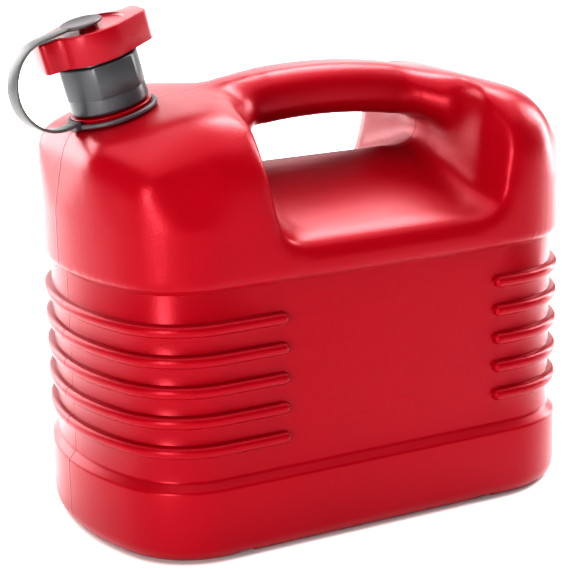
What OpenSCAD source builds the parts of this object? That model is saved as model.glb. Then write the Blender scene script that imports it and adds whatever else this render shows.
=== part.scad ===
// Ten litre fuel can: a blow-moulded body with a moulded-in handle, closed by a collar nut that clamps
// a pour spout in the neck, a two-lobed screw cap, and a tether from the neck to the middle of the cap.
// Frame: origin in the middle of the footprint, +Z up, the neck towards -X. Millimetres.

/* [Can body] */
// Length over the bowed ends
body_l = 310; // [280:1:375]
// Width over the flat sides
body_w = 178; // [148:1:215]
// Radius of the bow of each end, seen from above
end_bow_r = 144; // [130:1:175]
// Radius of the four upright corners
corner_r = 52.6; // [44:0.2:63.2]
// Thickness of the moulded wall
wall = 2.4; // [1.8:0.1:3.0]
// Height of the base band below the ribbed stretch
base_h = 43; // [34:1:52]
// Radius of the bottom edge
foot_r = 11; // [9:0.5:17]
// Height of the lower edge of the upper body
upper_z = 159; // [155:1:200]
// Depth of the ribbed stretch below the rest of the side
recess_d = 4.6; // [3.5:0.1:5.5]
// Width of the two shallow grooves across the bottom
groove_w = 10; // [6:1:14]
// Depth of the grooves in the bottom
groove_d = 3; // [2:0.5:4]
// Distance from the neck end to the first groove
groove_neck_run = 71; // [60:1:85]
// Distance from the rear end to the second groove
groove_rear_run = 79; // [60:1:95]

/* [Ribs] */
// Number of ribs in each group
rib_count = 5; // [2:1:5]
// Distance between ribs
rib_pitch = 17.3; // [12:0.1:19]
// Width of a rib
rib_w = 7.2; // [5:0.2:9]
// Height of the middle of the top rib
rib_top_z = 135; // [130:1:143]
// Distance from the neck end to the tips of its ribs
rib_neck_run = 100; // [80:1:120]
// Distance from the rear end to the tips of its ribs
rib_rear_run = 75; // [65:1:90]

/* [Shoulder and handle] */
// Height of the top of the handle
handle_top_z = 258.5; // [255:0.5:300]
// Radius of the arch along the top of the handle
handle_arch_r = 325; // [260:5:420]
// Thickness of the handle, up and down
handle_h = 29.5; // [27:0.5:38]
// Width of the handle
handle_w = 40; // [34:1:46]
// Height of the ridge under the finger gap
gap_floor_z = 204; // [198:1:240]
// Distance from the neck end to the finger gap
gap_neck_run = 107; // [96:1:115]
// Distance from the rear end to the finger gap
gap_rear_run = 75; // [66:1:90]
// Height of the lower edge of the side scoop
scoop_z = 175; // [172:1:215]
// Radius of the long top edges of the shoulder
shoulder_r = 40; // [30:1:44]
// Radius of the top edge at the neck end
front_edge_r = 16; // [12:1:20]

/* [Neck] */
// Distance from the neck end to the foot of the neck axis
neck_run = 39.4; // [37:0.2:44]
// Height of the foot of the neck axis
neck_z = 232; // [226:1:272]
// Lean of the neck towards its end
neck_tilt = 14.4; // [8:0.1:16]
// Radius of the plain neck under its thread
neck_r = 18.4; // [17.4:0.1:19.0]
// Radius of the bore of the neck
neck_bore_r = 15.5; // [14.4:0.1:16.2]
// Length of the neck above the foot of its axis
neck_len = 34.5; // [31:0.5:41]
// Radius of the pedestal that carries the tether ring
pedestal_r = 22.4; // [21.6:0.1:23.4]

/* [Threads] */
// Pitch of both threads
pitch = 4; // [3.6:0.1:4.4]
// Height of the threads
tooth_h = 1.4; // [1.1:0.1:1.6]
// Turns of thread that the collar nut comes off in
collar_turns = 1.75; // [1:0.25:1.75]
// Turns of thread that the cap comes off in
cap_turns = 1.5; // [1:0.25:1.5]

/* [Collar nut and spout] */
// Distance from the middle of the collar nut to its curved flats
collar_flat_r = 22.3; // [22.1:0.1:24]
// Radius of curvature of those flats
collar_bulge_r = 34; // [28:1:60]
// Thickness of the collar nut over the spout flange
collar_top_t = 4.5; // [3.5:0.1:5.5]
// Thickness of the flange of the pour spout
flange_t = 2; // [1.5:0.1:2.5]
// Thickness of the neck gasket
gasket_t = 1.5; // [1.0:0.1:2.0]
// Outer radius of the spout hose
hose_r = 12.6; // [11:0.1:13.2]
// Wall of the spout hose
hose_wall = 1.6; // [1.2:0.1:2.0]
// Length of the spout below its flange
hose_len = 101; // [80:1:121]

/* [Cap] */
// Radius of the round part of the cap
cap_r = 23; // [22.6:0.1:24]
// Reach of the two lobes from the middle
lobe_reach = 32; // [30:0.5:36]
// Half of the width of a lobe
lobe_half_w = 10; // [8:0.5:11.5]
// Height of the cap
cap_h = 17.2; // [15:0.1:20.6]
// Turn of the lobes from the length of the can
lobe_turn = -2; // [-30:1:30]
// Thickness of the cap seal
seal_t = 1.8; // [1.2:0.1:2.2]

/* [Tether] */
// Turn of the tether loop from the length of the can
tether_turn = 13; // [-20:1:20]
// Width of the strap
strap_w = 9.5; // [7:0.5:10]
// Thickness of the strap
strap_t = 2; // [1.4:0.1:2.2]
// Radial width of the tether ring
ring_w = 2.7; // [2.2:0.1:3.2]
// Height of the tether ring
ring_h = 2.4; // [1.8:0.1:2.6]
// Radius of the round end of the tether on the cap
button_r = 12; // [9:0.5:12.5]

/* [Hidden] */

$fn = 96;
// Clearances: a running fit, a loose fit, and the play of the ring on its pedestal
run_gap = 0.1;
loose_gap = 0.3;
ring_gap = 0.5;
// A small overlap that makes two solids of one piece merge
bite = 0.5;

// Seen from above, the ends bow about these centres and the corners turn about those
bow_x = body_l / 2 - end_bow_r;
corner_y = body_w / 2 - corner_r;
corner_x = bow_x + sqrt(pow(end_bow_r - corner_r, 2) - pow(corner_y, 2));
bow_angle = asin(corner_y / (end_bow_r - corner_r));
bow_steps = 8;
corner_steps = 7;

// Heights up the side
bevel_top = base_h + recess_d;
upper_foot = upper_z - recess_d;
straight_top = 192;
core_rise = 12;

// Handle and finger gap
arch_x = 5;
handle_half = 16;
handle_corner_r = 13;
gap_x0 = -body_l / 2 + gap_neck_run;
gap_x1 = body_l / 2 - gap_rear_run;
gap_r = 14;
scoop_r = 16;
scoop_x0 = gap_x0 - 12;
scoop_x1 = gap_x1 + 6;
scoop_lean0 = 0.22;
scoop_lean1 = 0.2;
cut_top = handle_top_z + 26;

// Neck, in its own frame: the axis is Z and the foot of the axis is the origin
platform_s = 8.8;
ring_s = platform_s + 1;
bead_s = ring_s + ring_h + 0.8;
bead_top = bead_s + 1.3;
skirt_s = bead_top + 1.1;
crest_r = neck_r + tooth_h;
nut_bore_r = crest_r + loose_gap;
gasket_s = neck_len;
flange_s = gasket_s + gasket_t;
ceiling_s = flange_s + flange_t;
collar_top = ceiling_s + collar_top_t;
skirt_r = nut_bore_r + 2.3;
hex_s = skirt_s + 8.8;
mouth_r = 14;
spigot_top = collar_top + 14;
seal_top = spigot_top + seal_t;
cap_s = collar_top + 1.3;
cap_top = cap_s + cap_h;
dish_d = 1.2;
dish_r = cap_r - 3.5;
boss_r = 5.5;
stem_r = 2.9;
button_s = cap_top + 1.6;
stem_s = cap_top - 0.6;
// Each thread is as long as the turns it comes off in and three quarters of a turn more
neck_thread_len = (collar_turns + 0.75) * pitch;
neck_thread_s = neck_len - 2 - neck_thread_len;
spigot_thread_len = (cap_turns + 0.75) * pitch;
spigot_thread_s = spigot_top - 2.5 - spigot_thread_len;

// Tether loop: a short run from the lug of the ring, a half circle, and the top bar of the strap. The round end
// sits off the middle of the cap, towards the strap
lug_reach = 28.6;
loop_x = lug_reach + 3;
button_off = 4;
loop_s0 = ring_s + ring_h + strap_t / 2;
loop_s1 = button_s + strap_t / 2;
loop_r = (loop_s1 - loop_s0) / 2;
loop_s = (loop_s1 + loop_s0) / 2;
button_flat = sqrt(pow(button_r, 2) - pow(strap_w / 2, 2));

module neck_frame() {
    translate([-body_l / 2 + neck_run, 0, neck_z])
        rotate([0, -neck_tilt, 0])
            children();
}

// Points on an arc of the plan, each as its centre, radius and direction
function arc(x, y, r, a0, a1, steps) = [for (i = [0 : steps]) [x, y, r, a0 + (a1 - a0) * i / steps]];

// The rear end of the plan, from one side round to the other; the neck end is this turned by 180 degrees
function rear_end() = concat(
    arc(corner_x, -corner_y, corner_r, -90, -bow_angle, corner_steps),
    arc(bow_x, 0, end_bow_r, -bow_angle + 2 * bow_angle / bow_steps, bow_angle, bow_steps - 1),
    arc(corner_x, corner_y, corner_r, bow_angle + (90 - bow_angle) / corner_steps, 90, corner_steps - 1)
);
function turned(list, turn) = [for (p = list) [p[0] * cos(turn), p[1] * cos(turn), p[2], p[3] + turn]];
function whole_plan() = concat(rear_end(), turned(rear_end(), 180));

// A point of the plan, a distance inside the outer face
function place(p, inset) = [p[0] + (p[2] - inset) * cos(p[3]), p[1] + (p[2] - inset) * sin(p[3])];

module plan(inset) {
    polygon([for (p = whole_plan()) place(p, inset)]);
}

// A solid through a stack of plans, each given as its inset and its height
module stack(levels) {
    ring = whole_plan();
    n = len(ring);
    points = [for (l = levels) for (p = ring) concat(place(p, l[0]), l[1])];
    last = (len(levels) - 1) * n;
    walls = [for (k = [0 : len(levels) - 2]) for (i = [0 : n - 1])
        [k * n + i, k * n + (i + 1) % n, (k + 1) * n + (i + 1) % n, (k + 1) * n + i]];
    faces = concat([[for (i = [0 : n - 1]) i]], [for (f = walls) [f[3], f[2], f[1], f[0]]],
        [[for (i = [n - 1 : -1 : 0]) last + i]]);
    polyhedron(points = points, faces = faces, convexity = 4);
}

// The base and the ribbed stretch, a distance inside their outer faces
module lower_body(inset) {
    r = foot_r - inset;
    foot = [for (a = [0 : 22.5 : 90]) [foot_r - r * sin(a), foot_r - r * cos(a)]];
    stack(concat(foot, [
        [inset, base_h + 0.4 * inset], [recess_d + inset, bevel_top + 0.4 * inset],
        [recess_d + inset, upper_foot + core_rise]
    ]));
}

// The rounded upper body before the handle is cut out of it
module upper_body(inset) {
    front = -body_l / 2;
    rear = body_l / 2;
    hull() {
        translate([0, 0, upper_z - 0.4 * inset]) linear_extrude(straight_top - upper_z) plan(inset);
        translate([0, 0, upper_foot - bite - 0.4 * inset]) linear_extrude(0.01) plan(recess_d + bite + inset);
        neck_frame() translate([0, 0, platform_s - 4]) cylinder(h = 4 - inset, r = 27 - inset, $fn = 48);
        for (flip = [-1, 1]) {
            shoulder_ball([front + front_edge_r + 5, flip * 35, neck_z - 14], front_edge_r - inset);
            shoulder_ball([front + 38, flip * (body_w / 2 - 34), neck_z - 24], 24 - inset);
            shoulder_ball([front + 72, flip * (body_w / 2 - shoulder_r), neck_z - 24], shoulder_r - inset);
            shoulder_ball([front + 96, flip * 22, handle_top_z - 42], 36 - inset);
            shoulder_ball([rear - 80, flip * 22, handle_top_z - 43], 36 - inset);
            shoulder_ball([rear - 58, flip * (body_w / 2 - shoulder_r), handle_top_z - 53], shoulder_r - inset);
            shoulder_ball([rear - 46, flip * 38, handle_top_z - 62], shoulder_r - inset);
        }
        shoulder_ball([rear - shoulder_r, 0, handle_top_z - 60], shoulder_r - inset);
    }
}

module shoulder_ball(at, r) {
    translate(at) sphere(r, $fn = 28);
}

// What the handle is cut out with: a trough from the ridge down to each side
module trough(grow) {
    for (flip = [-1, 1])
        hull() {
            trough_end(0, gap_x0, gap_x1, gap_floor_z, gap_r, 0.1, 0.1, grow);
            trough_end(flip * (body_w / 2 + 8), scoop_x0, scoop_x1, scoop_z - 3, scoop_r,
                scoop_lean0, scoop_lean1, grow);
        }
}

module trough_end(y, x0, x1, z, r, lean0, lean1, grow) {
    rise = cut_top - z - r;
    translate([0, y, 0])
        rotate([90, 0, 0]) {
            linear_extrude(0.1, center = true) {
                translate([x0 + r, z + r]) circle(r + grow, $fn = 32);
                translate([x1 - r, z + r]) circle(r + grow, $fn = 32);
                polygon([
                    [x0 - grow, z + r], [x0 - grow - lean0 * rise, cut_top],
                    [x1 + grow + lean1 * rise, cut_top], [x1 + grow, z + r]
                ]);
            }
        }
}

// The arched handle bar
module handle_bar(inset, reach) {
    a0 = asin((gap_x0 - reach - arch_x) / handle_arch_r);
    a1 = asin((gap_x1 + reach - arch_x) / handle_arch_r);
    w = handle_w / 2 - handle_corner_r;
    h = handle_h / 2 - handle_corner_r;
    translate([arch_x, 0, handle_top_z - handle_arch_r])
        rotate([90, 0, 0])
            rotate([0, 0, 90 - a1])
                rotate_extrude(angle = a1 - a0, $fn = 180)
                    translate([handle_arch_r - handle_h / 2, 0]) {
                        for (i = [-1, 1], j = [-1, 1])
                            translate([i * h, j * w]) circle(handle_corner_r - inset);
                        square([handle_h - 2 * inset, 2 * w], center = true);
                        square([2 * h, handle_w - 2 * inset], center = true);
                    }
}

// One rib round the rear end; its section shrinks into the wall over the last few millimetres of each tip
module rib(run) {
    tip_x = body_l / 2 - run;
    tips = [[0, 0.05], [0.12, 0.6], [0.35, 0.85], [0.8, 1]];
    side = [for (t = tips) [tip_x + t[0] * rib_w, -corner_y, corner_r, -90, t[1]]];
    path = concat(side, [for (p = rear_end()) concat(p, 1)],
        [for (i = [len(side) - 1 : -1 : 0]) [side[i][0], corner_y, corner_r, 90, side[i][4]]]);
    points = [for (p = path) for (q = rib_section(p[4])) concat(place(p, q[0]), q[1])];
    n = len(rib_section(1));
    last = (len(path) - 1) * n;
    walls = [for (k = [0 : len(path) - 2]) for (i = [0 : n - 1])
        [k * n + i, k * n + (i + 1) % n, (k + 1) * n + (i + 1) % n, (k + 1) * n + i]];
    polyhedron(points = points, faces = concat(walls, [[for (i = [n - 1 : -1 : 0]) i],
        [for (i = [0 : n - 1]) last + i]]), convexity = 6);
}

// Half of a flattened round, as inset and height, with its root inside the wall
function rib_section(size) = let (h = rib_w / 2 * size, d = recess_d * size) [
    [recess_d + 1.2, -h], [recess_d - 0.55 * d, -h], [recess_d - 0.9 * d, -0.6 * h], [recess_d - d, 0],
    [recess_d - 0.9 * d, 0.6 * h], [recess_d - 0.55 * d, h], [recess_d + 1.2, h]
];

module ribs() {
    for (i = [0 : rib_count - 1])
        translate([0, 0, rib_top_z - i * rib_pitch]) {
            rib(rib_rear_run);
            rotate([0, 0, 180]) rib(rib_neck_run);
        }
}

// The shallow grooves across the bottom, or the raised floor over them
module grooves(grow) {
    for (x = [-body_l / 2 + groove_neck_run, body_l / 2 - groove_rear_run])
        translate([x - groove_w / 2 - grow, -body_w / 2 - 10, -2])
            cube([groove_w + 2 * grow, body_w + 20, 2 + groove_d + grow]);
}

module can_body() color("red") {
    difference() {
        union() {
            lower_body(0);
            ribs();
            difference() {
                upper_body(0);
                trough(0);
            }
            handle_bar(0, 26);
            neck_frame() {
                translate([0, 0, -12]) cylinder(h = 12 + bead_top, r = pedestal_r);
                translate([0, 0, bead_s]) cylinder(h = bead_top - bead_s, r = pedestal_r + 0.8);
                translate([0, 0, bead_top - bite]) cylinder(h = neck_len - bead_top + bite, r = neck_r);
                translate([0, 0, neck_thread_s]) cylinder(h = neck_thread_len, r = crest_r);
            }
        }
        difference() {
            lower_body(wall);
            grooves(wall);
        }
        difference() {
            upper_body(wall);
            trough(wall);
        }
        handle_bar(wall, 18);
        neck_frame() translate([0, 0, -16]) cylinder(h = 17 + neck_len, r = neck_bore_r);
        grooves(0);
    }
}

module neck_gasket() color("dimgray") neck_frame()
    translate([0, 0, gasket_s]) difference() {
        cylinder(h = gasket_t, r = crest_r);
        translate([0, 0, -1]) cylinder(h = gasket_t + 2, r = neck_bore_r + 0.1);
    }

// The hose is ribbed down to its plain tip
hose_folds = 9;
fold_len = 7;
fold_d = 1.6;
module hose_outline(inset) {
    top = flange_s;
    folds = [for (i = [0 : hose_folds - 1]) for (p = [[0, 0], [-fold_d, -2], [-fold_d, -4], [0, -6]])
        [hose_r + p[0] - inset, top - 8 - i * fold_len + p[1]]];
    end = top - hose_len;
    polygon(concat([[0, top + 1], [hose_r - inset, top + 1]], folds,
        [[hose_r - 2 - inset, end + 26], [hose_r - 3.5 - inset, end - (inset > 0 ? 1 : 0)],
        [0, end - (inset > 0 ? 1 : 0)]]));
}

module pour_spout() color("darkslategray") neck_frame() difference() {
    union() {
        translate([0, 0, flange_s]) cylinder(h = flange_t, r = crest_r);
        rotate_extrude() hose_outline(0);
    }
    rotate_extrude() hose_outline(hose_wall);
    translate([0, 0, flange_s]) cylinder(h = flange_t + 1, r = hose_r - hose_wall);
}

// Six slightly bulged flats
module collar_plan(grow) {
    intersection_for(i = [0 : 5])
        rotate([0, 0, 60 * i + 33])
            translate([collar_flat_r - collar_bulge_r, 0]) circle(collar_bulge_r + grow);
}

module collar_nut() color("gray") neck_frame() difference() {
    union() {
        translate([0, 0, skirt_s]) cylinder(h = hex_s - skirt_s + bite, r = skirt_r - 0.3);
        translate([0, 0, hex_s]) linear_extrude(collar_top - hex_s - 1) collar_plan(0);
        translate([0, 0, collar_top - 1.01]) linear_extrude(1.01) collar_plan(-0.8);
        translate([0, 0, collar_top - bite]) cylinder(h = spigot_top - collar_top + bite, r = neck_r);
        translate([0, 0, spigot_thread_s]) cylinder(h = spigot_thread_len, r = crest_r);
    }
    translate([0, 0, skirt_s - 1]) cylinder(h = ceiling_s - skirt_s + 1, r = nut_bore_r);
    translate([0, 0, ceiling_s - 1]) cylinder(h = spigot_top - ceiling_s + 2, r = mouth_r);
}

module cap_seal() color("dimgray") neck_frame()
    translate([0, 0, spigot_top]) difference() {
        cylinder(h = seal_t, r = crest_r);
        translate([0, 0, -1]) cylinder(h = 1.6, r = mouth_r - 1.5);
    }

// The plan of the cap: a round part and two lobes. Each lobe runs straight into the round part on one side, and
// through a hollow on the other
module lobe(inset) {
    tip_r = 4 - min(inset, 2);
    reach = lobe_reach - inset;
    half = lobe_half_w - inset;
    for (flip = [-1, 1])
        translate([reach - tip_r, flip * (half - tip_r)]) circle(tip_r);
    translate([0, tip_r - half]) square([reach, 2 * (half - tip_r)]);
    translate([0, -half]) square([reach - tip_r, 2 * half]);
}

module cap_plan() {
    hollow_r = 8;
    hollow_y = lobe_half_w + hollow_r;
    hollow_x = sqrt(pow(cap_r + hollow_r, 2) - pow(hollow_y, 2));
    // The straight side touches the round part and the corner of the lobe, both in this direction
    tip_x = lobe_reach - 4;
    tip_y = lobe_half_w - 4;
    side_a = acos((cap_r - 4) / norm([tip_x, tip_y])) + atan2(tip_y, tip_x);
    circle(cap_r);
    for (side = [0, 180])
        rotate([0, 0, side]) {
            lobe(0);
            polygon([
                [0, 0], [cap_r * cos(side_a), -cap_r * sin(side_a)],
                [tip_x + 4 * cos(side_a), -tip_y - 4 * sin(side_a)], [tip_x, -tip_y]
            ]);
            difference() {
                polygon([[0, 0], [hollow_x, hollow_y], [hollow_x, 0]]);
                translate([hollow_x, hollow_y]) circle(hollow_r);
            }
        }
}

module cap() color("red") neck_frame() difference() {
    union() {
        translate([0, 0, cap_s]) rotate([0, 0, lobe_turn]) linear_extrude(cap_h) cap_plan();
        translate([0, 0, cap_top - dish_d]) cylinder(h = button_s - cap_top + dish_d, r = boss_r);
    }
    translate([0, 0, cap_s - 1]) cylinder(h = seal_top - cap_s + 1, r = nut_bore_r);
    translate([0, 0, cap_s - 1]) rotate([0, 0, lobe_turn]) linear_extrude(seal_top - cap_s + 1)
        difference() {
            union() {
                lobe(2.4);
                rotate([0, 0, 180]) lobe(2.4);
            }
            circle(cap_r);
        }
    translate([0, 0, cap_top - dish_d]) difference() {
        cylinder(h = dish_d + 1, r = dish_r);
        translate([0, 0, -1]) cylinder(h = dish_d + 3, r = boss_r);
    }
    translate([0, 0, stem_s - 0.2]) cylinder(h = button_s - stem_s + 1, r = stem_r + run_gap);
}

module tether_frame() {
    neck_frame() rotate([0, 0, tether_turn]) children();
}

module tether_ring() color("dimgray") tether_frame() {
    inner = pedestal_r + ring_gap;
    translate([0, 0, ring_s]) difference() {
        union() {
            cylinder(h = ring_h, r = inner + ring_w);
            translate([-lug_reach, -strap_w / 2, 0]) cube([lug_reach - inner, strap_w, ring_h + strap_t]);
        }
        translate([0, 0, -1]) cylinder(h = ring_h + strap_t + 2, r = inner);
        translate([0, 0, ring_h]) cylinder(h = strap_t + 1, r = inner + ring_w - 0.6);
    }
}

// The strap from its side
module strap_outline() {
    translate([-loop_x, loop_s])
        difference() {
            circle(loop_r + strap_t / 2);
            circle(loop_r - strap_t / 2);
            translate([0, -2 * loop_r]) square(4 * loop_r);
        }
    translate([-loop_x, loop_s0 - strap_t / 2]) square([loop_x - lug_reach, strap_t]);
    translate([-loop_x, button_s]) square([loop_x - button_flat - button_off, strap_t]);
}

module tether_strap() color("silver") tether_frame()
    rotate([90, 0, 0])
        translate([0, 0, -strap_w / 2])
            linear_extrude(strap_w) strap_outline();

module tether_button() color("dimgray") tether_frame() {
    difference() {
        translate([-button_off, 0, button_s]) cylinder(h = strap_t, r = button_r);
        translate([-button_off - button_r - 1, -strap_w / 2, button_s - 1])
            cube([button_r + 1 - button_flat, strap_w, strap_t + 2]);
    }
    translate([0, 0, stem_s]) cylinder(h = button_s - stem_s + bite, r = stem_r);
}

can_body();
neck_gasket();
pour_spout();
collar_nut();
cap_seal();
cap();
tether_ring();
tether_strap();
tether_button();
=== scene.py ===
import math

import bmesh
import bpy
from mathutils import Matrix, Vector


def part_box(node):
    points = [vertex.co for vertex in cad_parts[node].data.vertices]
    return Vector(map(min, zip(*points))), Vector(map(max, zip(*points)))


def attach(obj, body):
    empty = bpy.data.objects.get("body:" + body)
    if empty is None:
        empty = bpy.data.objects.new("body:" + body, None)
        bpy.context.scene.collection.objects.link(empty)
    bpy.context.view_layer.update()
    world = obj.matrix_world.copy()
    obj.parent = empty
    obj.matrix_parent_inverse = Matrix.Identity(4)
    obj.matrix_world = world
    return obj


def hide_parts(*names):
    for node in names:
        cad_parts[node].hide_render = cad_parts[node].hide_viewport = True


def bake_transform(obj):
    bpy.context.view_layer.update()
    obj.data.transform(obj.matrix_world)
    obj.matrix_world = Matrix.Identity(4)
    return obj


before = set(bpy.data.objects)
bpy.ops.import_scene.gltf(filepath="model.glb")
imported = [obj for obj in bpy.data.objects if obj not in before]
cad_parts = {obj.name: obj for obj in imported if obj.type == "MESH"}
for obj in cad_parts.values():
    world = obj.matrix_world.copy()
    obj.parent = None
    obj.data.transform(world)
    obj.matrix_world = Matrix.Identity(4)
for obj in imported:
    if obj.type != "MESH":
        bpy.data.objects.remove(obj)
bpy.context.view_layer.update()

# The camera looks down on the long side from beside the neck end, far enough away for a calm perspective.
# It is aimed at the middle of the can and leans by about a degree.
azimuth, elevation, roll = (math.radians(a) for a in (-27.152, 15.926, -1.099))
aim = Vector((-0.01516, 0, 0.12652))
distance = 1.0829
back = Vector((
    math.sin(azimuth) * math.cos(elevation), -math.cos(azimuth) * math.cos(elevation), math.sin(elevation)
))
right = Vector((math.cos(azimuth), math.sin(azimuth), 0))
up = back.cross(right)
turned_right = right * math.cos(roll) + up * math.sin(roll)
turned_up = up * math.cos(roll) - right * math.sin(roll)
lens = bpy.data.cameras.new("camera")
lens.lens = 114.35
lens.sensor_width = 36
camera = bpy.data.objects.new("camera", lens)
camera.matrix_world = Matrix.Translation(aim + back * distance) @ Matrix(
    (turned_right, turned_up, back)
).transposed().to_4x4()
bpy.context.scene.collection.objects.link(camera)
bpy.context.scene.camera = camera

# The lower half of the can: a base band, and above it the recessed wall that carries the ribs. It is blown in
# one with the rest, from red polyethylene, and stands on a bottom with two shallow grooves across it. Here it is
# drawn up from its plan, which is bowed at both ends.
mm = 0.001
body_low, body_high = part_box("can_body")
half_l = body_high.x
half_w = body_high.y
bow_r = 144 * mm
corner_r = 52.6 * mm
bow_x = half_l - bow_r
corner_y = half_w - corner_r
corner_x = bow_x + math.sqrt((bow_r - corner_r) ** 2 - corner_y ** 2)
bow_turn = math.asin(corner_y / (bow_r - corner_r))
base_h = 43 * mm
recess = 4.6 * mm
upper_z = 159 * mm
foot_r = 11 * mm
rib_w = 7.2 * mm
rib_pitch = 17.3 * mm
rib_top = 135 * mm
rib_count = 5
rib_round = 3.3 * mm
rib_root = 0.9 * mm
rib_tips = (-half_l + 100 * mm, half_l - 75 * mm)
ledge_round = 1.2 * mm
overlap = 8 * mm
groove_x = (-half_l + 71 * mm, half_l - 79 * mm)
groove_w = 14 * mm
groove_d = 4 * mm
groove_round = 3.5 * mm


def only(*objects):
    """Selects these objects and nothing else, with the first one active."""
    bpy.ops.object.select_all(action="DESELECT")
    for obj in objects:
        obj.select_set(True)
    bpy.context.view_layer.objects.active = objects[0]


def edit(obj):
    only(obj)
    bpy.ops.object.mode_set(mode="EDIT")


def done():
    bpy.ops.object.mode_set(mode="OBJECT")


def pick(obj, kind, test):
    """In edit mode, selects each VERT, EDGE or FACE for which the test holds, and returns how many."""
    bpy.ops.mesh.select_mode(type=kind)
    bpy.ops.mesh.select_all(action="DESELECT")
    mesh = bmesh.from_edit_mesh(obj.data)
    found = [x for x in {"VERT": mesh.verts, "EDGE": mesh.edges, "FACE": mesh.faces}[kind] if test(x)]
    for x in found:
        x.select_set(True)
    mesh.select_flush_mode()
    bmesh.update_edit_mesh(obj.data)
    return len(found)


def named(name):
    obj = bpy.context.object
    obj.name = name
    obj.data.name = name
    return obj


def settle(obj):
    """Applies the object's place, turn and size to its mesh."""
    only(obj)
    bpy.ops.object.transform_apply(location=True, rotation=True, scale=True)
    return obj


def apply(obj, kind, **settings):
    """Adds a modifier with these settings and applies it."""
    only(obj)
    modifier = obj.modifiers.new(kind.lower(), kind)
    for key, value in settings.items():
        setattr(modifier, key, value)
    bpy.ops.object.modifier_apply(modifier=modifier.name)


def combine(obj, other, operation):
    """Joins, cuts or crosses obj with another solid, which is used up."""
    apply(obj, "BOOLEAN", object=other, operation=operation, solver="EXACT")
    bpy.data.objects.remove(other)


def outline_face(name, start, moves):
    """One face left open in edit mode. Its edge runs from start by straight moves, each an x and y step, and by
    arcs, each a centre x and y, an angle and a number of steps."""
    bpy.ops.object.select_all(action="DESELECT")
    bpy.ops.mesh.primitive_plane_add(size=mm, location=start)
    obj = settle(named(name))
    edit(obj)
    bpy.ops.mesh.select_mode(type="VERT")
    bpy.ops.mesh.select_all(action="SELECT")
    bpy.ops.mesh.merge(type="CENTER")
    for move in moves:
        if len(move) == 2:
            bpy.ops.mesh.extrude_region_move(TRANSFORM_OT_translate={"value": (*move, 0)})
        else:
            x, y, turn, steps = move
            bpy.ops.mesh.spin(steps=steps, angle=-turn, center=(x, y, start[2]), axis=(0, 0, 1))
    bpy.ops.mesh.select_all(action="SELECT")
    bpy.ops.mesh.remove_doubles(threshold=0.01 * mm)
    bpy.ops.mesh.edge_face_add()
    bpy.ops.mesh.select_all(action="SELECT")
    return obj


def plan_face(name, z, inset):
    """The plan of the can, a distance inside its outline."""
    moves = []
    for end in (1, -1):
        moves += [
            (end * corner_x, -end * corner_y, math.pi / 2 - bow_turn, 10),
            (end * bow_x, 0, 2 * bow_turn, 20),
            (end * corner_x, end * corner_y, math.pi / 2 - bow_turn, 10),
        ]
        if end == 1:
            moves.append((-2 * corner_x, 0))
    return outline_face(name, (corner_x, inset - half_w, z), moves)


def lift(dx, dy, dz):
    """Extrudes what is selected by a straight step."""
    bpy.ops.mesh.extrude_region_move(TRANSFORM_OT_translate={"value": (dx, dy, dz)})


def middle(edge):
    return (edge.verts[0].co + edge.verts[1].co) / 2


def flat(edge):
    """Whether an edge is level."""
    return abs(edge.verts[0].co.z - edge.verts[1].co.z) < 1e-5


def on_rib(z):
    return any(abs(z - rib_top + i * rib_pitch) < rib_w / 2 + 1e-5 for i in range(rib_count))


lower = plan_face("can_lower", 0, 0)
lift(0, 0, base_h)
bpy.ops.mesh.select_all(action="SELECT")
bpy.ops.mesh.normals_make_consistent(inside=False)
pick(lower, "FACE", lambda f: f.normal.z > 0.9)
bpy.ops.mesh.inset(thickness=recess, depth=recess)
lift(0, 0, upper_z + overlap - base_h - recess)
for i in range(rib_count):
    for edge_z in (rib_w / 2, -rib_w / 2):
        bpy.ops.mesh.select_all(action="SELECT")
        bpy.ops.mesh.bisect(plane_co=(0, 0, rib_top - i * rib_pitch + edge_z), plane_no=(0, 0, 1))
for x in rib_tips:
    bpy.ops.mesh.select_all(action="SELECT")
    bpy.ops.mesh.bisect(plane_co=(x, 0, 0), plane_no=(1, 0, 0))
pick(lower, "FACE", lambda f: abs(f.normal.z) < 0.1 and on_rib(f.calc_center_median().z) and (
    f.calc_center_median().x < rib_tips[0] or f.calc_center_median().x > rib_tips[1]))
bpy.ops.mesh.extrude_region_shrink_fatten(TRANSFORM_OT_shrink_fatten={"value": recess})


def depth_in(co):
    """How far a point lies inside the outline of the can, seen from above."""
    x, y = abs(co.x), abs(co.y)
    if x <= corner_x:
        return half_w - y
    if math.atan2(y, x - bow_x) < bow_turn:
        return bow_r - math.hypot(x - bow_x, y)
    return corner_r - math.hypot(x - corner_x, y - corner_y)


def rib_line(edge, inset):
    """Whether an edge runs along the side of a rib, or round its tip, at this depth in the wall."""
    a, b = (v.co for v in edge.verts)
    if abs(depth_in(a) - inset) > 0.5 * mm or abs(depth_in(b) - inset) > 0.5 * mm:
        return False
    at_tip = any(abs(a.x - x) < 1e-5 and abs(b.x - x) < 1e-5 for x in rib_tips)
    on_line = any(
        abs(abs(a.z - rib_top + i * rib_pitch) - rib_w / 2) < 1e-5 for i in range(rib_count)
    ) and flat(edge)
    outside = a.x < rib_tips[0] + 1e-5 and b.x < rib_tips[0] + 1e-5 or (
        a.x > rib_tips[1] - 1e-5 and b.x > rib_tips[1] - 1e-5)
    return (on_line and outside) or (at_tip and not flat(edge) and on_rib(middle(edge).z))


def tip_corner(edge):
    """Whether an edge runs in through the wall at a corner of a rib's tip."""
    a, b = (v.co for v in edge.verts)
    at_tip = any(abs(a.x - x) < 1e-5 and abs(b.x - x) < 1e-5 for x in rib_tips)
    return at_tip and flat(edge) and abs(depth_in(a) - depth_in(b)) > 3 * mm and on_rib(a.z)


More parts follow.
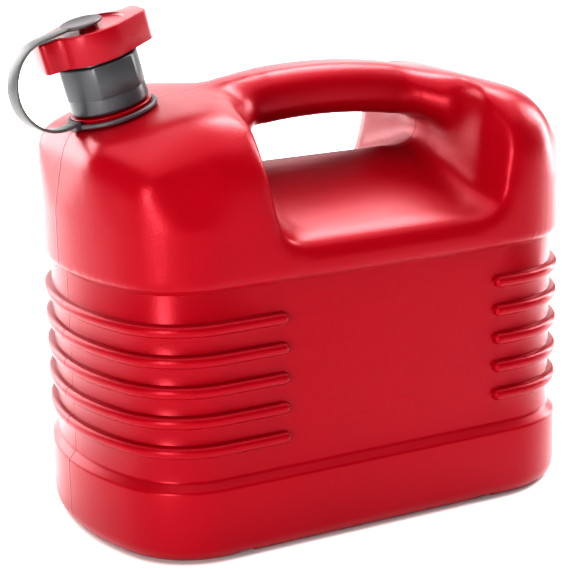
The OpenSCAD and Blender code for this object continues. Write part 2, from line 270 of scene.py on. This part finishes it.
pick(lower, "EDGE", lambda e: rib_line(e, 0) or tip_corner(e))
bpy.ops.mesh.bevel(offset=rib_round, segments=5, affect="EDGES", clamp_overlap=False)
pick(lower, "EDGE", lambda e: flat(e) and abs(middle(e).z) < 1e-5 and len(e.link_faces) == 2
    and abs(e.link_faces[0].normal.z - e.link_faces[1].normal.z) > 0.5)
bpy.ops.mesh.bevel(offset=foot_r, segments=8, affect="EDGES")
pick(lower, "EDGE", lambda e: flat(e) and any(
    abs(middle(e).z - z) < 1e-5 for z in (base_h, base_h + recess)))
bpy.ops.mesh.bevel(offset=ledge_round, segments=3, affect="EDGES")
pick(lower, "EDGE", lambda e: rib_line(e, recess))
bpy.ops.mesh.bevel(offset=rib_root, segments=2, affect="EDGES")
done()
for x in groove_x:
    bpy.ops.object.select_all(action="DESELECT")
    bpy.ops.mesh.primitive_cube_add(size=1, location=(x, 0, 0), scale=(groove_w, 2.4 * half_w, 2 * groove_d))
    groove = settle(named("groove"))
    edit(groove)
    pick(groove, "EDGE", lambda e: flat(e) and middle(e).z > 0 and abs(middle(e).y) < 1e-5)
    bpy.ops.mesh.bevel(offset=groove_round, segments=6, affect="EDGES")
    done()
    combine(lower, groove, "DIFFERENCE")
only(lower)
bpy.ops.object.shade_smooth_by_angle(angle=math.radians(40))
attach(lower, "can")
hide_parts("can_body")

# The upper half of the can: the shoulder, the two scoops beside the handle and the handle itself, all one hollow
# blow moulding. It is rounded all over, with the parting line of the mould along its middle.
tilt = math.radians(14.4)
neck = Matrix.Translation((-half_l + 39.4 * mm, 0, 232 * mm)) @ Matrix.Rotation(-tilt, 4, "Y")
handle_top = 258.7 * mm
arch_r = 325 * mm
arch_x = 5 * mm
handle_h = 29.8 * mm
handle_w = 40 * mm
handle_round = 13 * mm
handle_root = 26 * mm
gap = (-half_l + 107 * mm, half_l - 75 * mm)
cut_top = handle_top + 26 * mm
grid = 1.75 * mm


def join(*objects):
    only(*objects)
    bpy.ops.object.join()
    return objects[0]


def hull(obj):
    edit(obj)
    bpy.ops.mesh.select_all(action="SELECT")
    bpy.ops.mesh.convex_hull()
    done()
    return obj


def ball(x, y, z, r):
    """A ball, in millimetres, to be wrapped into a hull."""
    bpy.ops.mesh.primitive_uv_sphere_add(
        segments=48, ring_count=24, radius=r * mm, location=(x * mm, y * mm, z * mm))
    return settle(bpy.context.object)


def drum(co, r, depth, turn=(0, 0, 0), vertices=64):
    bpy.ops.mesh.primitive_cylinder_add(vertices=vertices, radius=r, depth=depth, location=co, rotation=turn)
    return settle(bpy.context.object)


upper = plan_face("can_upper", upper_z, 0)
lift(0, 0, 33 * mm)
done()
lip = plan_face("lip", upper_z - recess - 0.5 * mm, recess + 0.5 * mm)
done()
shoulder = [
    ball(x, flip * y, z, r)
    for x, y, z, r in (
        (-133, 35, 218, 17), (-117, 55, 207, 24), (-83, 49, 207.5, 40), (-59, 19, 215.5, 36),
        (75, 22, 215.5, 36), (97, 49, 205.5, 40), (109, 38, 196.5, 40), (115, 0, 198.5, 40),
    )
    for flip in (1, -1)
]
platform = drum(neck @ Vector((0, 0, 6.8 * mm)), 27 * mm, 4 * mm, (0, -tilt, 0))
hull(join(upper, lip, platform, *shoulder))


def slot_end(y, x0, x1, z, r, lean0, lean1):
    """A section across a scoop: a slot with rounded lower corners that leans outwards above them."""
    rise = cut_top - z - r
    parts = [drum((x, y, z + r), r, 0.1 * mm, (math.pi / 2, 0, 0), 48) for x in (x0 + r, x1 - r)]
    for x in (x0 - lean0 * rise, x1 + lean1 * rise):
        parts.append(drum((x, y, cut_top), 0.1 * mm, 0.1 * mm, (math.pi / 2, 0, 0), 8))
    return parts


for flip in (1, -1):
    sections = (
        (flip * -6 * mm, gap[0] + 0.8 * mm, gap[1], 206 * mm, 14 * mm, 0.09, 0.1),
        (flip * 68 * mm, gap[0] - 9 * mm, gap[1], 181.5 * mm, 14 * mm, 0.19, 0.12),
        (flip * 97 * mm, gap[0] - 12.5 * mm, gap[1] + 10 * mm, 172 * mm, 16 * mm, 0.22, 0.2),
    )
    for inner, outer in zip(sections, sections[1:]):
        combine(upper, hull(join(*slot_end(*inner), *slot_end(*outer))), "DIFFERENCE")

turn0 = math.asin((gap[0] - handle_root - arch_x) / arch_r)
turn1 = math.asin((gap[1] + handle_root - arch_x) / arch_r)
arch = Vector((arch_x, 0, handle_top - arch_r))
middle_r = arch_r - handle_h / 2
bpy.ops.mesh.primitive_plane_add(
    size=1, location=arch + middle_r * Vector((math.sin(turn0), 0, math.cos(turn0))),
    rotation=(0, turn0 + math.pi / 2, 0))
handle = named("handle")
handle.scale = (handle_h, handle_w, 1)
settle(handle)
edit(handle)
bpy.ops.mesh.select_all(action="SELECT")
bpy.ops.mesh.bevel(offset=handle_round, segments=8, affect="VERTICES")
bpy.ops.mesh.spin(steps=40, angle=turn0 - turn1, center=arch, axis=(0, 1, 0))
bpy.ops.mesh.select_all(action="SELECT")
bpy.ops.mesh.normals_make_consistent(inside=False)
done()
combine(upper, handle, "UNION")
for flip in (1, -1):
    combine(upper, hull(join(
        ball(60, flip * 6, 242.5, 10.5), ball(94, flip * 8, 232, 16), ball(101, flip * 38, 226, 17),
        ball(92, flip * 30, 234, 11))), "UNION")
    combine(upper, hull(join(
        ball(-43, flip * 6, 239, 12.5), ball(-66, flip * 6, 234, 14), ball(-66, flip * 30, 226, 16))), "UNION")
apply(upper, "REMESH", mode="VOXEL", voxel_size=grid)
apply(upper, "SMOOTH", factor=0.5, iterations=5)


def soften(x0, x1, y0, y1, z0, z1, repeat):
    """Rounds the upper half inside a box, in millimetres and on both sides, as the melt does where it hangs free.
    It fades out over the last centimetre."""
    edit(upper)
    for edge in (0, 2.5, 5, 7.5, 10):
        pick(upper, "VERT", lambda v: x0 + edge < v.co.x / mm < x1 - edge
            and z0 + edge < v.co.z / mm < z1 - edge
            and y0 + edge * (y0 > 0) < abs(v.co.y) / mm < y1 - edge)
        bpy.ops.mesh.vertices_smooth(factor=0.5, repeat=repeat)
    done()


soften(-52, 78, 66, 110, 158, 196, 16)
soften(-98, -28, 0, 70, 197, 258, 14)
soften(56, 116, 0, 60, 200, 262, 10)
soften(-88, -40, 44, 110, 160, 246, 5)
soften(58, 112, 26, 110, 164, 246, 4)
soften(-160, -60, 0, 110, 190, 260, 5)
soften(78, 160, 0, 110, 190, 262, 5)
only(upper)
bpy.ops.object.shade_smooth()
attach(upper, "can")


class Value:
    """A number that changes over a surface. Arithmetic on it adds Math nodes."""

    def __init__(self, material, socket):
        self.material = material
        self.socket = socket

    def _math(self, operation, a, b):
        return self.material.node("ShaderNodeMath", {"operation": operation}, {0: a, 1: b})

    def __add__(self, other):
        return self._math("ADD", self, other)

    def __radd__(self, other):
        return self._math("ADD", other, self)

    def __mul__(self, other):
        return self._math("MULTIPLY", self, other)

    def __rmul__(self, other):
        return self._math("MULTIPLY", other, self)


class Finish:
    """A material built up from nodes around one Principled shader."""

    def __init__(self, name):
        self.material = bpy.data.materials.new(name)
        self.material.use_nodes = True
        self.tree = self.material.node_tree
        self.shader = self.tree.nodes["Principled BSDF"]
        self.place = self.node("ShaderNodeTexCoord", {}, {}, "Object")

    def node(self, kind, settings, inputs, output=0):
        """Adds a node with these settings and inputs, and returns one of its outputs."""
        made = self.tree.nodes.new(kind)
        for key, value in settings.items():
            if key == "stops":
                for stop, (at, color) in zip(made.color_ramp.elements, value):
                    stop.position = at
                    stop.color = color
            else:
                setattr(made, key, value)
        for key, value in inputs.items():
            self.link(made.inputs[key], value)
        return Value(self, made.outputs[output])

    def link(self, socket, value):
        if isinstance(value, Value):
            self.tree.links.new(value.socket, socket)
        else:
            socket.default_value = value

    def noise(self, scale, detail=2.0, roughness=0.5):
        """An even noise over the surface, from 0 to 1; scale is in bumps a metre."""
        return self.node("ShaderNodeTexNoise", {}, {
            "Vector": self.place, "Scale": scale, "Detail": detail, "Roughness": roughness})

    def mix(self, a, b, share):
        return self.node(
            "ShaderNodeMix", {"data_type": "RGBA"}, {"Factor": share, "A": a, "B": b}, "Result")

    def bump(self, height, distance, strength=1.0, under=None):
        inputs = {"Height": height, "Distance": distance, "Strength": strength}
        if under is not None:
            inputs["Normal"] = under
        return self.node("ShaderNodeBump", {}, inputs)

    def set(self, **values):
        for key, value in values.items():
            self.link(self.shader.inputs[key.replace("_", " ")], value)
        return self.material


def put(material, *objects):
    for obj in objects:
        obj.data.materials.clear()
        obj.data.materials.append(material)


red = Finish("red_polyethylene")
cloud = red.noise(9, 3)
grain = red.noise(700, 2, 0.6)
fine = red.noise(2200, 1, 0.5)
across = red.node("ShaderNodeSeparateXYZ", {}, {0: red.place}, 1)
off_middle = red.node("ShaderNodeMath", {"operation": "ABSOLUTE"}, {0: across})
parting = red.node("ShaderNodeMapRange", {"interpolation_type": "SMOOTHSTEP"}, {
    "Value": off_middle, "From Min": 0.0006, "From Max": 0.0011, "To Min": 1.0, "To Max": 0.0})
put(red.set(
    Base_Color=red.mix((0.185, 0.0003, 0.006, 1), (0.225, 0.0005, 0.008, 1), cloud),
    Roughness=0.25 + 0.06 * cloud + 0.06 * grain,
    Specular_IOR_Level=0.5,
    Specular_Tint=(1.0, 0.18, 0.22, 1),
    Normal=red.bump(parting, 0.0005, 0.7, red.bump(0.7 * grain + 0.3 * fine, 0.0002, 0.6)),
), lower, upper)

# The neck: a pedestal on the leaning platform for the tether ring, a bead that keeps the ring down, and the
# threaded neck itself with its moulded lip. It is one with the can; the bore runs through it.
ring_s = 9.8 * mm
bead_s = 13 * mm
neck_r = 18.4 * mm
bore_r = 15.5 * mm
pedestal_r = 22.4 * mm
bead_r = pedestal_r + 0.7 * mm
pedestal_foot = -5 * mm
pitch = 4 * mm
neck_top = 34.5 * mm


def seat(obj):
    """Moves a piece that was made upright onto the leaning axis of the neck."""
    obj.matrix_world = neck
    return settle(obj)


def lathe(name, outline, rounding=0.4 * mm, steps=96):
    """Turns an outline of radius and height points round the upright axis. It is closed by an edge from its last
    point to its first, unless it starts and ends on the axis."""
    bpy.ops.object.select_all(action="DESELECT")
    bpy.ops.mesh.primitive_plane_add(size=mm, location=(outline[0][0], 0, outline[0][1]))
    obj = settle(named(name))
    edit(obj)
    bpy.ops.mesh.select_mode(type="VERT")
    bpy.ops.mesh.select_all(action="SELECT")
    bpy.ops.mesh.merge(type="CENTER")
    for (r0, s0), (r1, s1) in zip(outline, outline[1:]):
        lift(r1 - r0, 0, s1 - s0)
    bpy.ops.mesh.select_all(action="SELECT")
    if outline[0][0] > 0:
        bpy.ops.mesh.edge_face_add()
        bpy.ops.mesh.select_all(action="SELECT")
        bpy.ops.mesh.delete(type="ONLY_FACE")
        bpy.ops.mesh.select_all(action="SELECT")
    if rounding:
        bpy.ops.mesh.bevel(offset=rounding, segments=3, affect="VERTICES")
        bpy.ops.mesh.select_all(action="SELECT")
    bpy.ops.mesh.spin(steps=steps, angle=2 * math.pi, center=(0, 0, 0), axis=(0, 0, 1))
    bpy.ops.mesh.select_all(action="SELECT")
    bpy.ops.mesh.remove_doubles(threshold=0.01 * mm)
    bpy.ops.mesh.normals_make_consistent(inside=False)
    done()
    return obj


def thread(name, r, start, turns):
    """A rounded helical rib, half sunk in the wall it stands on."""
    bpy.ops.object.select_all(action="DESELECT")
    bpy.ops.mesh.primitive_plane_add(size=1, location=(r, 0, start), rotation=(math.pi / 2, 0, 0))
    obj = named(name)
    obj.scale = (2.6 * mm, 2 * mm, 1)
    settle(obj)
    edit(obj)
    bpy.ops.mesh.select_all(action="SELECT")
    bpy.ops.mesh.bevel(offset=0.6 * mm, segments=2, affect="VERTICES")
    done()
    apply(obj, "SCREW", screw_offset=pitch * turns, angle=2 * math.pi * turns, steps=int(64 * turns),
        render_steps=int(64 * turns), use_merge_vertices=False)
    edit(obj)
    bpy.ops.mesh.select_all(action="SELECT")
    bpy.ops.mesh.remove_doubles(threshold=0.01 * mm)
    bpy.ops.mesh.fill_holes(sides=0)
    bpy.ops.mesh.select_all(action="SELECT")
    bpy.ops.mesh.normals_make_consistent(inside=False)
    done()
    return obj


neck_piece = join(
    lathe("can_neck", [
        (bore_r, pedestal_foot), (pedestal_r, pedestal_foot), (pedestal_r, bead_s), (bead_r, bead_s + 0.2 * mm),
        (bead_r, bead_s + 1.2 * mm), (neck_r, bead_s + 1.3 * mm), (neck_r, neck_top), (bore_r, neck_top),
    ]),
    thread("neck_thread", neck_r, 22.5 * mm, 2),
)
seat(neck_piece)
only(neck_piece)
bpy.ops.object.shade_smooth_by_angle(angle=math.radians(35))
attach(neck_piece, "can")
put(red.material, neck_piece)

# The collar nut: six gently bulged flats over a round skirt, with a spigot on top for the cap. It is moulded
# in grey plastic and clamps the flange of the spout on the neck.
skirt_s = 15.4 * mm
flats_s = 24.2 * mm
collar_top = 42.5 * mm
ceiling = 38 * mm
spigot_top = 56.5 * mm
mouth_r = 14 * mm
skirt_bore = 20.1 * mm
nut_bore = 20.6 * mm
flat_r = 22.3 * mm
bulge_r = 34 * mm
bulge_x = bulge_r - flat_r
corner_reach = math.sqrt(bulge_r ** 2 - (bulge_x / 2) ** 2) - bulge_x * math.cos(math.pi / 6)
flat_turn = 2 * math.asin(corner_reach / 2 / bulge_r)
first_corner = math.radians(3)
collar = outline_face(
    "collar", (corner_reach * math.cos(first_corner), corner_reach * math.sin(first_corner), flats_s),
    [(-bulge_x * math.cos(turn), -bulge_x * math.sin(turn), flat_turn, 16)
        for turn in (first_corner + math.radians(60 * i + 30) for i in range(6))])
lift(0, 0, collar_top - flats_s)
bpy.ops.mesh.select_all(action="SELECT")
bpy.ops.mesh.normals_make_consistent(inside=False)
pick(collar, "EDGE", lambda e: not flat(e) and e.calc_face_angle(0) > math.radians(10))
bpy.ops.mesh.bevel(offset=0.7 * mm, segments=3, affect="EDGES")
pick(collar, "EDGE", lambda e: flat(e) and abs(middle(e).z - collar_top) < 1e-5 and e.calc_face_angle(0) > 1)
bpy.ops.mesh.bevel(offset=1.1 * mm, segments=3, affect="EDGES")
pick(collar, "EDGE", lambda e: flat(e) and abs(middle(e).z - flats_s) < 1e-5 and e.calc_face_angle(0) > 1)
bpy.ops.mesh.bevel(offset=0.4 * mm, segments=2, affect="EDGES")
done()
sleeve = lathe("sleeve", [
    (skirt_bore, skirt_s), (21.6 * mm, skirt_s), (flat_r, skirt_s + 1.2 * mm), (22 * mm, flats_s + 0.5 * mm),
    (21.4 * mm, collar_top - 0.4 * mm), (neck_r + 0.2 * mm, collar_top - 0.4 * mm), (neck_r, spigot_top),
    (mouth_r, spigot_top), (mouth_r, ceiling), (skirt_bore, ceiling),
], 0.35 * mm)
combine(collar, drum((0, 0, 33 * mm), nut_bore, 40 * mm, vertices=96), "DIFFERENCE")
collar = join(collar, sleeve, thread("spigot_thread", neck_r, collar_top + 3.5 * mm, 1.9))
seat(collar)
only(collar)
bpy.ops.object.shade_smooth_by_angle(angle=math.radians(30))
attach(collar, "collar")
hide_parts("collar_nut")
grey = Finish("grey_polypropylene")
flow = grey.noise(60, 3, 0.6)
grit = grey.noise(1500, 2, 0.6)
put(grey.set(
    Base_Color=grey.mix((0.03, 0.03, 0.033, 1), (0.042, 0.042, 0.046, 1), flow),
    Roughness=0.26 + 0.1 * flow + 0.06 * grit,
    Normal=grey.bump(grit, 0.0001, 0.25),
), collar)

# The cap: a round body with two opposite lobes to turn it by, hollowed out below over the thread. Each lobe runs
# straight out of the round on one side and has a hollow for the finger on the other. The top is a shallow dish.
cap_s = 43.8 * mm
cap_top = 61 * mm
cap_h = cap_top - cap_s
cap_r = 23 * mm
cap_bore = 20.1 * mm
dish_r = 20.6 * mm
boss_r = 5.5 * mm
boss_top = 62.4 * mm
lobe_reach = 32 * mm
lobe_half = 10 * mm
lobe_turn = math.radians(-2)
flank_r = 8 * mm
flank_y = lobe_half + flank_r
flank_x = math.sqrt((cap_r + flank_r) ** 2 - flank_y ** 2)
tip_r = 4 * mm
tip_x = lobe_reach - tip_r
tip_y = lobe_half - tip_r
flank_turn = math.atan2(flank_x, flank_y)
straight = math.acos((cap_r - tip_r) / math.hypot(tip_x, tip_y)) + math.atan2(tip_y, tip_x)
tip_start = (tip_x + tip_r * math.cos(straight), -tip_y - tip_r * math.sin(straight))
moves = []
for end in (1, -1):
    moves += [
        (end * tip_x, -end * tip_y, straight, 8),
        (0, end * 2 * tip_y),
        (end * tip_x, end * tip_y, math.pi / 2, 8),
        (end * (flank_x - tip_x), 0),
        (end * flank_x, end * flank_y, -flank_turn, 10),
        (0, 0, math.pi - straight - math.atan2(flank_y, flank_x), 24),
        (end * (cap_r * math.cos(straight) - tip_start[0]), end * (-cap_r * math.sin(straight) - tip_start[1])),
    ]
cap = outline_face("cap_shell", (*tip_start, cap_s), moves[:-1])
lift(0, 0, cap_h)
bpy.ops.mesh.select_all(action="SELECT")
bpy.ops.mesh.normals_make_consistent(inside=False)
pick(cap, "EDGE", lambda e: flat(e) and abs(middle(e).z - cap_top) < 1e-5)
bpy.ops.mesh.bevel(offset=1 * mm, segments=4, affect="EDGES")
pick(cap, "EDGE", lambda e: flat(e) and abs(middle(e).z - cap_s) < 1e-5)
bpy.ops.mesh.bevel(offset=0.5 * mm, segments=2, affect="EDGES")
done()
dish = drum((0, 0, cap_top + 1.7 * mm), dish_r, 6 * mm, vertices=96)
edit(dish)
pick(dish, "EDGE", lambda e: flat(e) and middle(e).z < cap_top)
bpy.ops.mesh.bevel(offset=1.6 * mm, segments=5, affect="EDGES")
done()
combine(cap, dish, "DIFFERENCE")
combine(cap, drum((0, 0, cap_s + 7.2 * mm), cap_bore, 14.6 * mm, vertices=96), "DIFFERENCE")
cap = join(cap, lathe("boss", [
    (3 * mm, cap_top - 1.6 * mm), (boss_r, cap_top - 1.6 * mm), (boss_r, boss_top), (3 * mm, boss_top)]))
cap.rotation_euler = (0, 0, lobe_turn)
settle(cap)
seat(cap)
only(cap)
bpy.ops.object.shade_smooth_by_angle(angle=math.radians(30))
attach(cap, "cap")
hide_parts("cap")
gloss = Finish("red_cap_plastic")
sweep = gloss.noise(45, 2)
pores = gloss.noise(1800, 2, 0.6)
put(gloss.set(
    Base_Color=gloss.mix((0.2, 0.0004, 0.007, 1), (0.24, 0.0006, 0.009, 1), sweep),
    Roughness=0.22 + 0.08 * sweep + 0.05 * pores,
    Specular_IOR_Level=0.5,
    Specular_Tint=(1.0, 0.45, 0.47, 1),
    Normal=gloss.bump(pores, 0.0001, 0.2),
), cap)

# The tether: a ring that turns on the pedestal under the nut, a strap that loops up from its lug, and a round end
# pressed into the middle of the cap. It is moulded in one, in soft grey plastic.
ring_top = 12.2 * mm
lug_reach = 28.6 * mm
lug_h = 4.4 * mm
lug_root = 24 * mm
ring_r = (22.9 * mm, 25.6 * mm)
strap_w = 9.5 * mm
strap_t = 1.8 * mm
strap_ends = (27 * mm, 15.2 * mm)
button_s = 62.6 * mm
button_r = 12 * mm
button_off = 4 * mm
loop_x = lug_reach + 3 * mm
loop_r = 25.2 * mm
loop_s = 38.4 * mm
tether_turn = math.radians(13)


def hang(obj):
    """Turns a tether piece to its side of the can and moves it onto the neck."""
    obj.rotation_euler = (0, 0, tether_turn)
    return seat(settle(obj))


ring = lathe("tether_collar", [
    (ring_r[0], ring_s), (ring_r[1], ring_s), (ring_r[1], ring_top), (ring_r[0], ring_top)], 0.7 * mm)
bpy.ops.object.select_all(action="DESELECT")
bpy.ops.mesh.primitive_cube_add(
    size=1, location=((-lug_reach - lug_root) / 2, 0, ring_s + lug_h / 2),
    scale=(lug_reach - lug_root, strap_w, lug_h))
lug = settle(named("lug"))
edit(lug)
bpy.ops.mesh.select_all(action="SELECT")
bpy.ops.mesh.bevel(offset=0.6 * mm, segments=3, affect="EDGES")
done()
ring = join(ring, lug)

half = strap_t / 2
straps = []
for name, start, moves in (
    ("strap_low", (-strap_ends[0], loop_s - loop_r - half), [
        (strap_ends[0] - loop_x, 0), (-loop_x, loop_s, -math.pi / 2, 20), (strap_t, 0),
        (-loop_x, loop_s, math.pi / 2, 20), (loop_x - strap_ends[0], 0)]),
    ("strap_high", (-loop_x - loop_r - half, loop_s), [
        (-loop_x, loop_s, -math.pi / 2, 20), (loop_x - strap_ends[1], 0), (0, -strap_t),
        (strap_ends[1] - loop_x, 0), (-loop_x, loop_s, math.pi / 2, 20)]),
):
    strap = outline_face(name, (*start, -strap_w / 2), moves)
    lift(0, 0, strap_w)
    bpy.ops.mesh.select_all(action="SELECT")
    bpy.ops.mesh.normals_make_consistent(inside=False)
    pick(strap, "EDGE", lambda e: flat(e) and len(e.link_faces) == 2 and (
        abs(e.link_faces[0].normal.z - e.link_faces[1].normal.z) > 0.5))
    bpy.ops.mesh.bevel(offset=0.6 * mm, segments=3, affect="EDGES")
    done()
    strap.rotation_euler = (math.pi / 2, 0, 0)
    hang(settle(strap))
    straps.append(strap)

button = lathe("round_end", [
    (0, button_s), (11.5 * mm, button_s), (button_r, button_s + 0.5 * mm), (button_r, button_s + 1.3 * mm),
    (11.4 * mm, button_s + 1.9 * mm), (10.2 * mm, button_s + 2 * mm), (9.6 * mm, button_s + 1.7 * mm),
    (0, button_s + 1.7 * mm)], 0)
button.location = (-button_off, 0, 0)
settle(button)
button = join(button, lathe("stem", [
    (0, 60.6 * mm), (2.4 * mm, 60.6 * mm), (2.8 * mm, 61 * mm), (2.8 * mm, button_s + 0.3 * mm),
    (0, button_s + 0.3 * mm)], 0))
for piece in (ring, button):
    hang(piece)
for piece in (ring, button, *straps):
    only(piece)
    bpy.ops.object.shade_smooth_by_angle(angle=math.radians(35))

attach(ring, "tether_ring")
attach(button, "button")
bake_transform(straps[0])
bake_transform(straps[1])
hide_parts("tether_ring")
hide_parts("tether_button")
for strap in straps:
    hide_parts("tether_strap")

soft = Finish("grey_tether_plastic")
tone = soft.noise(120, 3, 0.6)
put(soft.set(
    Base_Color=soft.mix((0.045, 0.036, 0.04, 1), (0.065, 0.053, 0.058, 1), tone),
    Roughness=0.4 + 0.15 * tone,
    Normal=soft.bump(soft.noise(1400, 2, 0.6), 0.0001, 0.3),
), ring, button)
silver = Finish("silver_tether_strap")
wave = silver.noise(70, 3, 0.6)
put(silver.set(
    Base_Color=silver.mix((0.06, 0.058, 0.056, 1), (0.09, 0.087, 0.084, 1), wave),
    Roughness=0.3 + 0.15 * wave,
    Normal=silver.bump(silver.noise(1400, 2, 0.6), 0.0001, 0.3),
), *straps)

# The parts inside: the pour spout, a soft hose with a flange, stowed point down in the neck, the gasket under the
# flange and the seal in the cap. The last two are punched from rubber. All three keep the shapes they were built with.
dark = Finish("dark_spout_plastic")
shade = dark.noise(80, 3, 0.6)
put(dark.set(
    Base_Color=dark.mix((0.02, 0.021, 0.023, 1), (0.035, 0.036, 0.039, 1), shade),
    Roughness=0.42 + 0.15 * shade,
    Normal=dark.bump(dark.noise(1300, 2, 0.6), 0.0001, 0.35),
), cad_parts["pour_spout"])
rubber = Finish("seal_rubber_finish")
dust = rubber.noise(300, 4, 0.65)
put(rubber.set(
    Base_Color=rubber.mix((0.012, 0.012, 0.013, 1), (0.03, 0.029, 0.028, 1), dust),
    Roughness=0.62 + 0.2 * dust,
    Normal=rubber.bump(dust, 0.0001, 0.4),
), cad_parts["neck_gasket"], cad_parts["cap_seal"])

# The floor and the studio: a pale floor, dim white surroundings, one large light overhead, and smaller ones that
# pick out the far side, the neck end, the corners, the shoulder and the scoop.
bpy.ops.object.select_all(action="DESELECT")
bpy.ops.mesh.primitive_plane_add(size=40, location=(0, 0, 0))
floor = named("floor")
pale = Finish("pale_floor")
put(pale.set(Base_Color=pale.mix((0.93, 0.93, 0.93, 1), (0.96, 0.96, 0.96, 1), pale.noise(3)), Roughness=0.9), floor)
world = bpy.data.worlds.new("studio")
world.use_nodes = True
surround = world.node_tree.nodes["Background"]
surround.inputs["Color"].default_value = (1, 1, 1, 1)
surround.inputs["Strength"].default_value = 0.16
bpy.context.scene.world = world
bpy.context.scene.view_settings.view_transform = "Standard"
bpy.context.scene.view_settings.look = "High Contrast"


def soft_light(name, place, width, height, power):
    """A rectangular light that faces the can."""
    light = bpy.data.lights.new(name, "AREA")
    light.shape = "RECTANGLE"
    light.size = width
    light.size_y = height
    light.energy = power
    obj = bpy.data.objects.new(name, light)
    obj.location = place
    obj.rotation_euler = (Vector((0, 0, 0.14)) - Vector(place)).to_track_quat("-Z", "Y").to_euler()
    bpy.context.scene.collection.objects.link(obj)


soft_light("top_light", (0, 0, 3), 4, 4, 165)
soft_light("back_light", (0.9, 1.8, 0.7), 2.2, 1.2, 13)
soft_light("end_light", (-0.75, 1.4, 0.7), 1.1, 1.2, 24)
soft_light("corner_light", (-1.15, -0.9, 0.3), 0.16, 0.6, 16)
soft_light("rim_light", (1.5, 0.15, 0.4), 0.3, 1.0, 14)
soft_light("shoulder_light", (1.3, -0.1, 1.0), 0.5, 0.5, 10)
soft_light("scoop_light", (0.65, 0.5, 1.35), 0.9, 0.6, 17)
